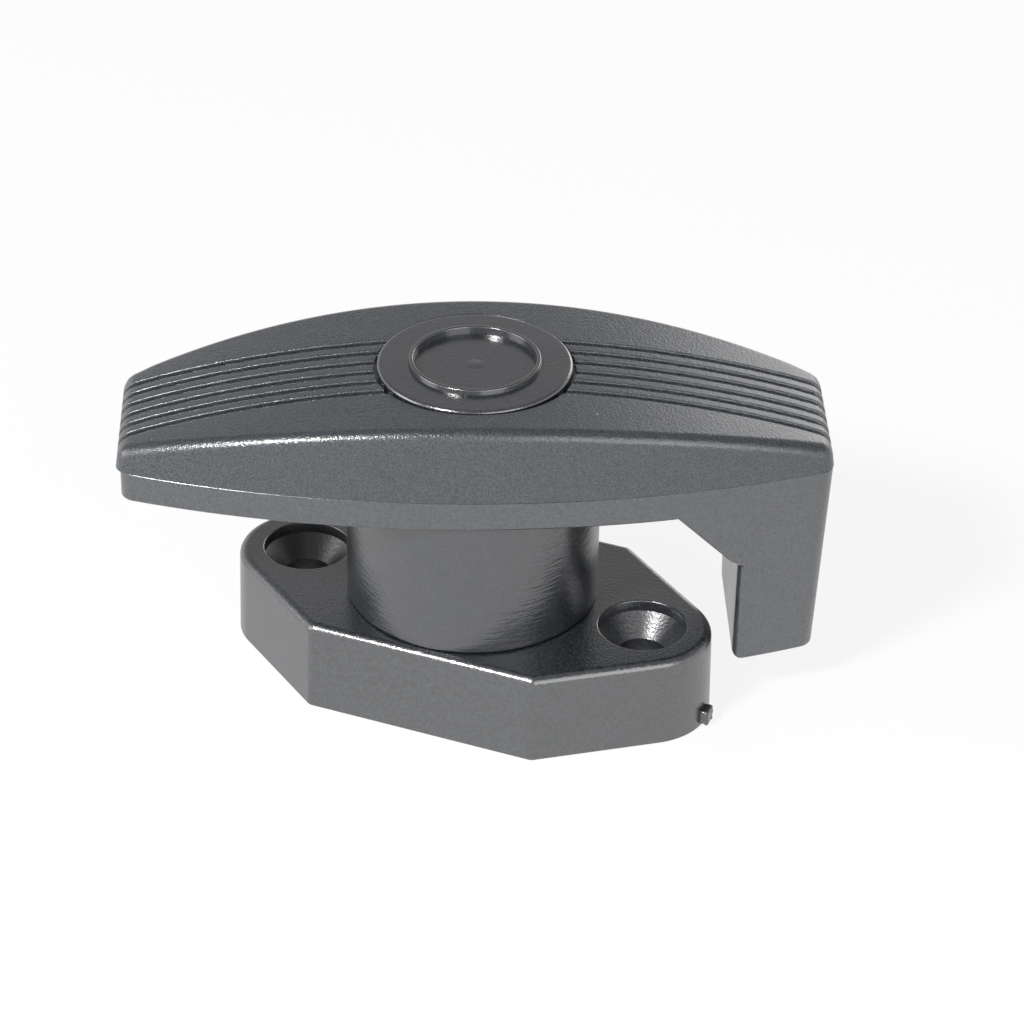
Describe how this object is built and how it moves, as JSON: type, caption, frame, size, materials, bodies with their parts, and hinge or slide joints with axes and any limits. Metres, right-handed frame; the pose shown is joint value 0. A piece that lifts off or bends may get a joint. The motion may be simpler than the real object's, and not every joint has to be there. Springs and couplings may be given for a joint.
{
  "type": "door holder",
  "caption": "Pull-and-turn door holder: a domed grip with a downturned hook on a round sprung post, on a lozenge base with countersunk screw holes.",
  "frame": {"origin": "on the pivot axis, in the plane of the wall that the base is screwed to", "axes": "+Z away from the wall along the pivot axis; +X along the line of the two screw holes, with the hook end of the handle nearest to it at rest"},
  "size_m": [0.0946, 0.0574, 0.049],
  "materials": {
    "base_plastic": "black moulded, fine satin grain",
    "smooth_plastic": "black moulded, smooth satin",
    "grained_plastic": "black moulded, leather grain",
    "cap_plastic": "black moulded, semi-gloss",
    "zinc_steel": "bright zinc plated",
    "spring_steel": "drawn spring wire",
    "nylon": "coloured nylon"
  },
  "bodies": {
    "base": {"base_plate": "base_plastic", "pivot_bolt": "zinc_steel", "return_spring": "spring_steel", "retaining_washer": "zinc_steel", "lock_nut": "zinc_steel", "nut_insert": "nylon"},
    "lift": {"spring_seat": "zinc_steel"},
    "handle": {"handle_body": "smooth_plastic", "handle_cover": "grained_plastic", "cover_screws": "zinc_steel", "centre_cap": "cap_plastic"}
  },
  "joints": [
    {"name": "handle_lift", "type": "slide", "parent": "base", "child": "lift", "axis": [0, 0, 1], "range_m": [0, 0.005], "stiffness_N_per_m": 2800, "springref_m": -0.0075, "deforming": ["return_spring"]},
    {"name": "handle_turn", "type": "hinge", "parent": "lift", "child": "handle", "pos_m": [0, 0, 0.02], "axis": [0, 0, 1], "continuous": true}
  ]
}
